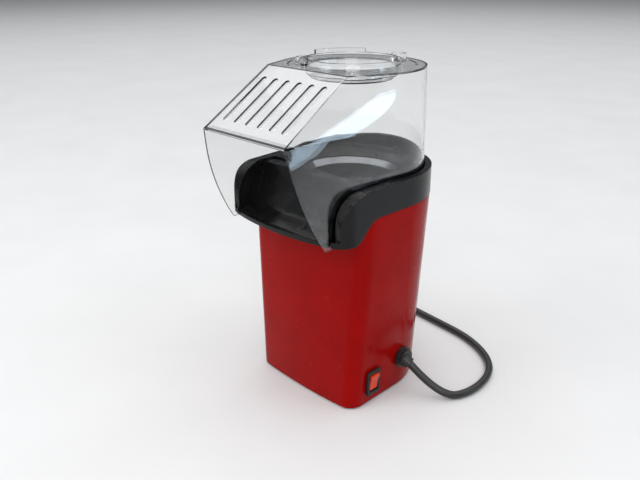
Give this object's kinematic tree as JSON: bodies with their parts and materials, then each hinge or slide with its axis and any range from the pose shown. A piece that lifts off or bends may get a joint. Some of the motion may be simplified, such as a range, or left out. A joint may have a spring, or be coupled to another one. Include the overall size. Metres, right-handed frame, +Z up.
{
  "type": "popcorn maker",
  "caption": "Compact hot-air popcorn maker: tapered body with swept chute collar, clear hood with slotted slanted front, measuring cup in its top, rocker switch and mains lead.",
  "frame": {"origin": "middle of the bounding box without the cord's nodes, on the plane the feet stand on", "axes": "+Z up; -Y is the front, where the chute and the slanted hood panel are; +X is the side with the switch and the lead"},
  "size_m": [0.2984, 0.2468, 0.2754],
  "materials": {
    "body_red": "gloss",
    "black_plastic": "matte",
    "collar_black": "satin gloss",
    "rubber": "matte",
    "steel": "satin",
    "clear_plastic": "clear gloss",
    "chamber_aluminium": "satin",
    "mica": "mica sheet",
    "heating_wire": "oxidised",
    "inner_plastic": "heat-proof plastic",
    "copper": "varnished windings",
    "white_plastic": "satin",
    "board": "phenolic board",
    "rocker_red": "translucent gloss",
    "brass": "plain",
    "plated_brass": "nickel plated",
    "lead_brown": "insulated wire",
    "lead_blue": "insulated wire",
    "cord_black": "satin"
  },
  "bodies": {
    "body": {"body_shell": "body_red", "base_plate": "black_plastic", "feet": "rubber", "base_screws": "steel", "collar": "collar_black", "popping_chamber": "chamber_aluminium", "chamber_ring": "steel", "ring_screws": "steel", "heat_shroud": "steel", "mica_former": "mica", "heating_coil": "heating_wire", "thermostat": "steel", "thermal_fuse": "steel", "fan_housing": "inner_plastic", "air_diffuser": "steel", "motor_can": "steel", "motor_end_cap": "white_plastic", "motor_screws": "steel", "rectifier_board": "board", "rectifier_diodes": "black_plastic", "switch_housing": "black_plastic", "switch_terminals": "brass", "lead_live": "lead_brown", "lead_neutral": "lead_blue", "strain_relief": "cord_black", "mains_cord": "cord_black", "cord_coil": "cord_black", "cord_tie": "cord_black", "plug_body": "cord_black", "plug_pins": "plated_brass"},
    "hood": {"hood": "clear_plastic"},
    "cup": {"measuring_cup": "clear_plastic"},
    "rocker": {"switch_rocker": "rocker_red"},
    "fan": {"impeller": "inner_plastic", "motor_shaft": "steel", "motor_rotor": "copper"}
  },
  "joints": [
    {"name": "hood_lift", "type": "slide", "parent": "body", "child": "hood", "axis": [0, 0, 1], "range_m": [0, 0.06]},
    {"name": "cup_lift", "type": "slide", "parent": "hood", "child": "cup", "axis": [0, 0, 1], "range_m": [0, 0.03]},
    {"name": "rocker_tilt", "type": "hinge", "parent": "body", "child": "rocker", "pos_m": [0.0574, -0.01035, 0.0207], "axis": [0, -1, 0], "range_deg": [0, 16]},
    {"name": "fan_spin", "type": "hinge", "parent": "body", "child": "fan", "pos_m": [0, 0.02315, 0.06], "axis": [0, 0, 1], "continuous": true}
  ]
}
